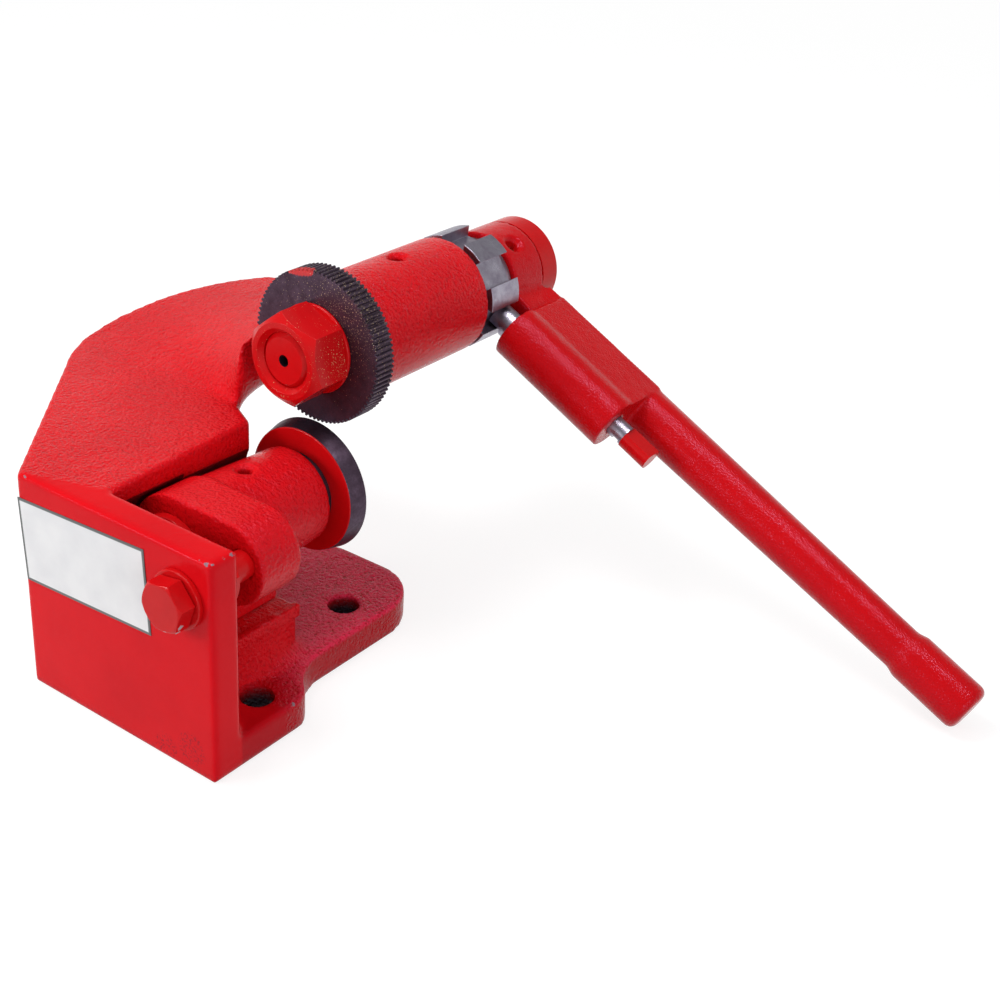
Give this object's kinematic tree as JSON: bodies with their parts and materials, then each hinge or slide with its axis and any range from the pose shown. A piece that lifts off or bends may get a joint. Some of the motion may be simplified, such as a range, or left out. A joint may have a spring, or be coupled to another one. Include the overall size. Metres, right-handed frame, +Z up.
{
  "type": "rotary sheet metal shear",
  "caption": "Bench shear with a cast C-shaped frame, a toothed upper cutter driven by a ratchet lever and an idle lower cutter on an adjustable carriage.",
  "frame": {"origin": "on the base's underside, below the shaft axes in the shear plane, where the two cutters meet", "axes": "+X to the right along the wall, towards the lever, +Y back along the shafts, +Z up"},
  "size_m": [0.3445, 0.2312, 0.1388],
  "materials": {
    "red_casting": "rough cast, glossy red paint",
    "red_steel": "glossy red paint",
    "dark_steel": "blackened, satin",
    "bare_steel": "bare, lightly worn",
    "bronze": "turned",
    "label": "plain film"
  },
  "bodies": {
    "frame": {"frame": "red_casting", "upper_front_bush": "bronze", "upper_rear_bush": "bronze", "adjusting_washer": "red_steel", "blank_label": "label"},
    "lever": {"lever": "red_casting", "lever_bush": "bronze", "plunger_spring": "bare_steel"},
    "spindle": {"upper_shaft": "red_steel", "cutter_key": "bare_steel", "upper_cutter": "dark_steel", "cutter_washer": "red_steel", "cutter_nut": "red_steel", "thrust_washer": "bare_steel", "ratchet_wheel": "bare_steel", "ratchet_key": "bare_steel", "end_collar": "red_steel", "collar_pin": "red_steel"},
    "plunger": {"plunger_pawl": "bare_steel", "plunger_knob": "red_steel", "knob_pin": "red_steel"},
    "carriage": {"carriage": "red_casting", "lower_front_bush": "bronze", "lower_rear_bush": "bronze", "clamp_screws": "bare_steel", "clamp_washers": "bare_steel"},
    "lower_spindle": {"lower_shaft": "bare_steel", "lower_cutter": "dark_steel", "lower_cutter_screw": "bare_steel", "lower_collar": "red_steel", "lower_nut": "red_steel"},
    "adjuster": {"adjusting_bolt": "red_steel", "lock_nut": "red_steel"}
  },
  "joints": [
    {"name": "lever_swing", "type": "hinge", "parent": "frame", "child": "lever", "pos_m": [0, 0.10415, 0.11055], "axis": [0, -1, 0], "range_deg": [0, 228]},
    {"name": "spindle_spin", "type": "hinge", "parent": "frame", "child": "spindle", "pos_m": [0, 0.04135, 0.11055], "axis": [0, -1, 0], "range_deg": [0, 228]},
    {"name": "pawl_pull", "type": "slide", "parent": "lever", "child": "plunger", "axis": [0.8883, 0, -0.4592], "range_m": [0, 0.006], "stiffness_N_per_m": 400, "springref_m": -0.01, "deforming": ["plunger_spring"]},
    {"name": "adjust_turn", "type": "hinge", "parent": "frame", "child": "adjuster", "pos_m": [0.0313, -0.08, 0.0656], "axis": [0, 1, 0], "range_deg": [0, 360]},
    {"name": "carriage_slide", "type": "slide", "parent": "frame", "child": "carriage", "axis": [0, -1, 0], "range_m": [0, 0.0015]},
    {"name": "lower_spin", "type": "hinge", "parent": "carriage", "child": "lower_spindle", "pos_m": [0, -0.04065, 0.0572], "axis": [0, 1, 0], "continuous": true}
  ],
  "couplings": [
    {"joint": "spindle_spin", "follows": "lever_swing", "ratio": 1},
    {"joint": "adjust_turn", "follows": "carriage_slide", "rad_per_m": 4188.8}
  ]
}
